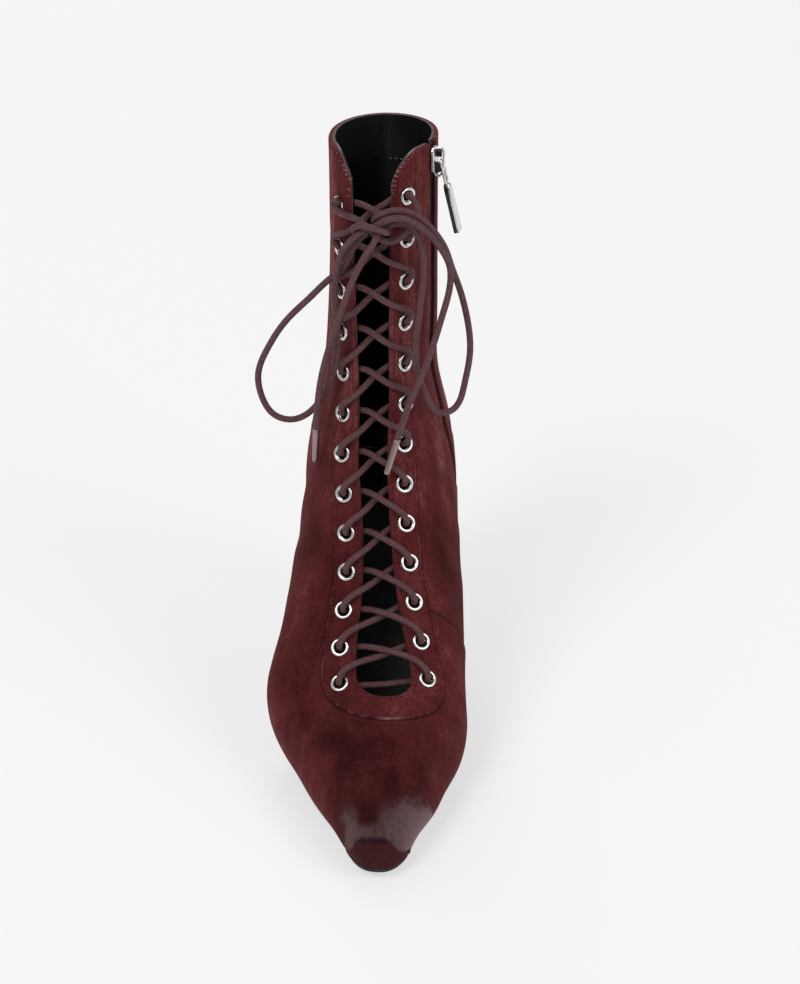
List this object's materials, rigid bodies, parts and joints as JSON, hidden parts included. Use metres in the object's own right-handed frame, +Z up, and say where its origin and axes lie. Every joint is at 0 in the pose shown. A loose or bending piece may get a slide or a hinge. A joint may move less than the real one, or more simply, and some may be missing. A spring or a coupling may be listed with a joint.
{
  "type": "ankle boot",
  "caption": "Pointed lace-up ankle boot for the right foot in suede, with a slim covered heel, an open laced throat tied in a bow and a zip on the inner side.",
  "frame": {"origin": "middle of the heel tip's flat face on the floor", "axes": "+Z up, -Y towards the toe, +X towards the inner side of the foot"},
  "size_m": [0.0991, 0.252, 0.2709],
  "materials": {
    "suede": "deep burgundy suede, burnished dark at the toe",
    "sole_leather": "black, satin",
    "lining": "black smooth lining leather",
    "tip_rubber": "black, matt",
    "nickel": "bright nickel plate",
    "lace_cord": "waxed round cord, dusty plum",
    "zip_tape": "woven tape with dark teeth"
  },
  "bodies": {
    "boot": {"aglet_inner": "nickel", "aglet_outer": "nickel", "eyelet_inner_01": "nickel", "eyelet_inner_02": "nickel", "eyelet_inner_03": "nickel", "eyelet_inner_04": "nickel", "eyelet_inner_05": "nickel", "eyelet_inner_06": "nickel", "eyelet_inner_07": "nickel", "eyelet_inner_08": "nickel", "eyelet_inner_09": "nickel", "eyelet_inner_10": "nickel", "eyelet_inner_11": "nickel", "eyelet_inner_12": "nickel", "eyelet_inner_13": "nickel", "eyelet_outer_01": "nickel", "eyelet_outer_02": "nickel", "eyelet_outer_03": "nickel", "eyelet_outer_04": "nickel", "eyelet_outer_05": "nickel", "eyelet_outer_06": "nickel", "eyelet_outer_07": "nickel", "eyelet_outer_08": "nickel", "eyelet_outer_09": "nickel", "eyelet_outer_10": "nickel", "eyelet_outer_11": "nickel", "eyelet_outer_12": "nickel", "eyelet_outer_13": "nickel", "heel": "suede", "heel_tip": "tip_rubber", "insole": "lining", "lace_bar": "lace_cord", "lace_cross_01": "lace_cord", "lace_cross_02": "lace_cord", "lace_cross_03": "lace_cord", "lace_cross_04": "lace_cord", "lace_cross_05": "lace_cord", "lace_cross_06": "lace_cord", "lace_cross_07": "lace_cord", "lace_cross_08": "lace_cord", "lace_cross_09": "lace_cord", "lace_cross_10": "lace_cord", "lace_cross_11": "lace_cord", "lace_cross_12": "lace_cord", "lace_end_inner": "lace_cord", "lace_end_outer": "lace_cord", "lace_knot": "lace_cord", "lace_loop_inner": "lace_cord", "lace_loop_outer": "lace_cord", "outsole": "sole_leather", "upper": "suede", "zip_slider": "nickel", "zip_strip": "zip_tape"},
    "pull": {"zip_pull": "nickel"}
  },
  "joints": [
    {"name": "zip_pull_hinge", "type": "hinge", "parent": "boot", "child": "pull", "pos_m": [0.02646, -0.05634, 0.26172], "axis": [-0.2003, -0.9797, -0.0017], "range_deg": [0, 150]}
  ]
}
